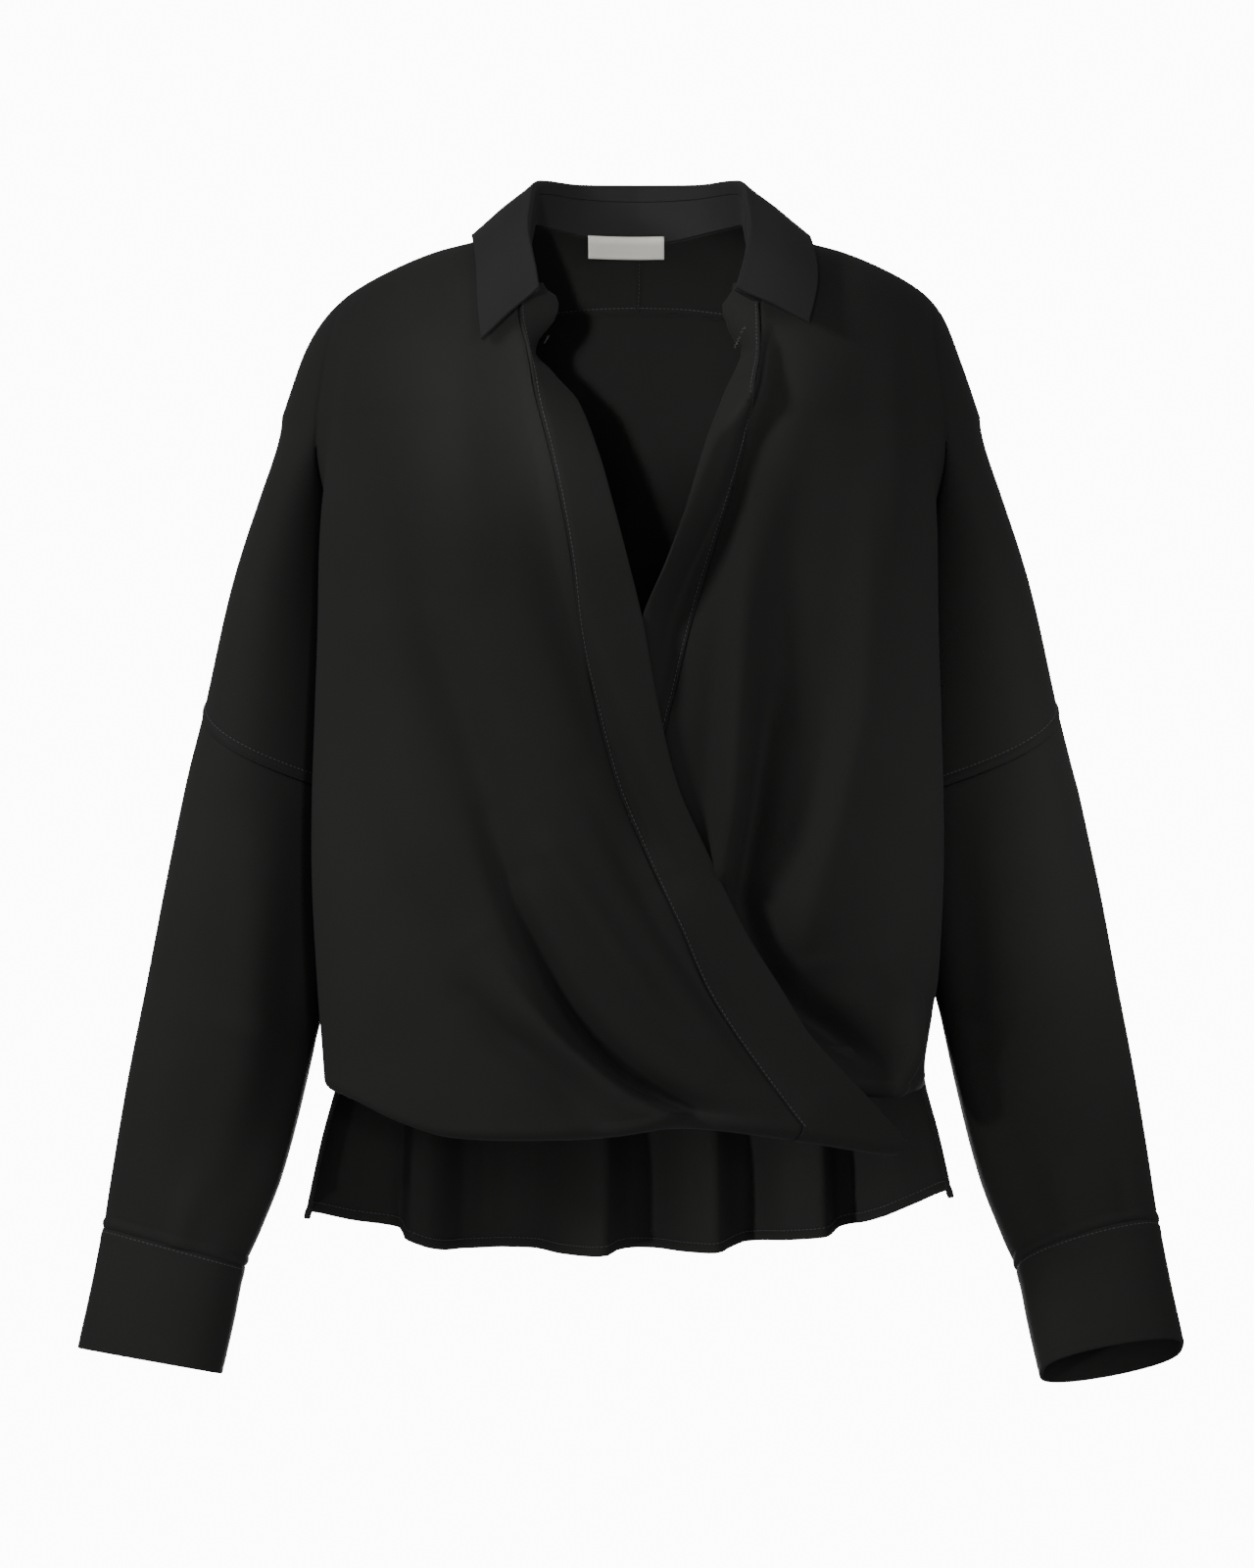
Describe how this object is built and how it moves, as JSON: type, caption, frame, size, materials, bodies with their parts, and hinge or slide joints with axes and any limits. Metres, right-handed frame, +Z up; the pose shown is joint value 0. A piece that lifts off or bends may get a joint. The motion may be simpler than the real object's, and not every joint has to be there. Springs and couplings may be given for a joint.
{
  "type": "wrap top",
  "caption": "Long-sleeved black crepe wrap top in its worn shape, with a shirt collar, dropped shoulders, fronts that cross and blouse over, and a longer fluted back.",
  "frame": {"origin": "middle of the neck, level with the inner ends of the shoulder seams, where the wearer holds it up", "axes": "+Z up, -Y to the garment's front, +X to the wearer's left"},
  "size_m": [0.6978, 0.2444, 0.7673],
  "materials": {
    "crepe": "matt black crepe",
    "crepe_faced": "matt black crepe over interfacing, in two layers",
    "label": "off-white woven ribbon, blank"
  },
  "bodies": {
    "root": {"front_right": "crepe", "front_left": "crepe", "back": "crepe", "yoke_right": "crepe", "yoke_left": "crepe", "sleeve_right": "crepe", "sleeve_left": "crepe", "band_right": "crepe_faced", "band_left": "crepe_faced", "collar_stand": "crepe_faced", "collar_leaf": "crepe_faced", "cuff_right": "crepe_faced", "cuff_left": "crepe_faced", "label": "label"}
  },
  "joints": []
}
